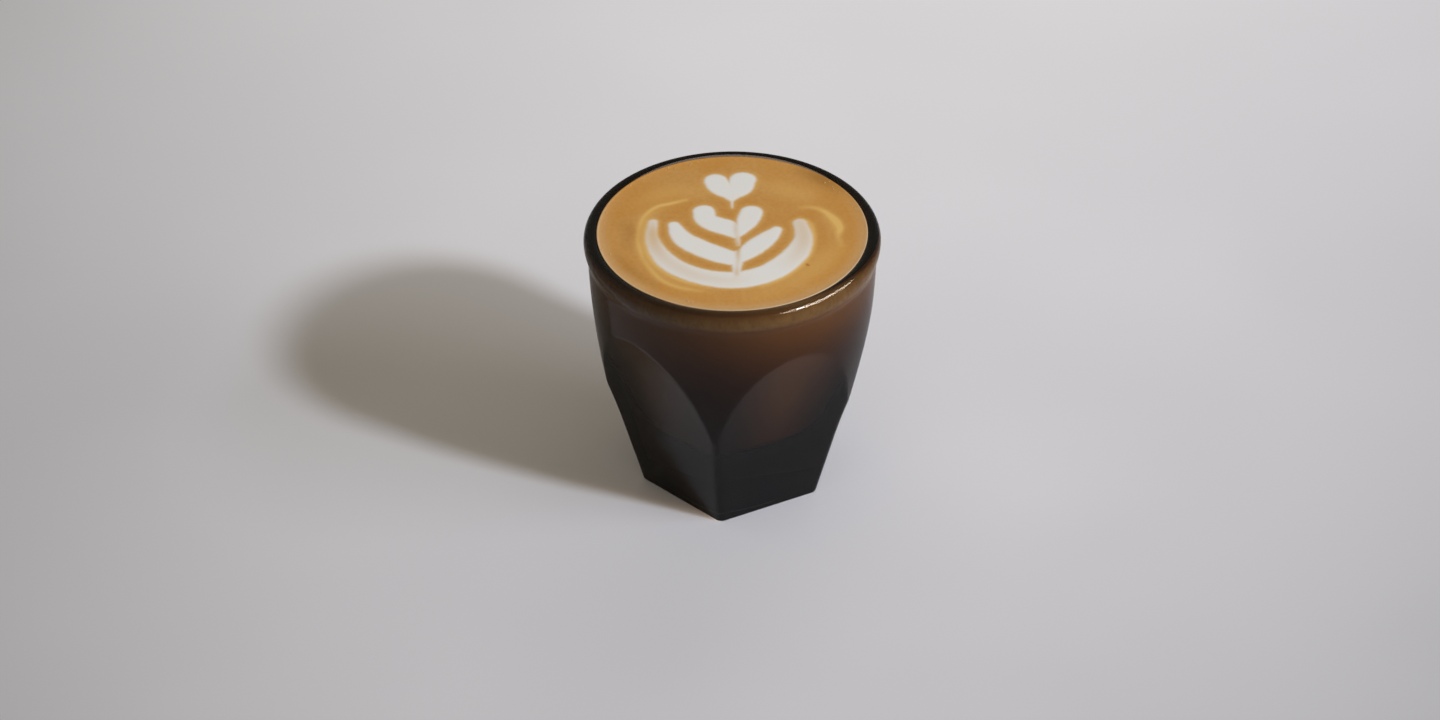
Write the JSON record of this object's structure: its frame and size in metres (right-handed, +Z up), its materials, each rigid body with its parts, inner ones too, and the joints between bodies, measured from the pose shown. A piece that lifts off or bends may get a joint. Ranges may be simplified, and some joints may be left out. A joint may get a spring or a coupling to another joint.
{
  "type": "cortado",
  "caption": "Small milk coffee with poured milk art, filled to the brim of a squat smoky tinted glass whose round wall changes into flat arched sides above a narrow foot.",
  "frame": {"origin": "middle of the foot's flat underside, on the surface that the glass stands on", "axes": "+Z up through the middle of the glass; -Y is the side the milk pattern's base points to, where a drinker sits"},
  "size_m": [0.077, 0.077, 0.076],
  "materials": {
    "milk_coffee": "satin wet foam",
    "smoky_glass": "polished, smoky tint"
  },
  "bodies": {
    "root": {"coffee": "milk_coffee", "glass": "smoky_glass"}
  },
  "joints": []
}
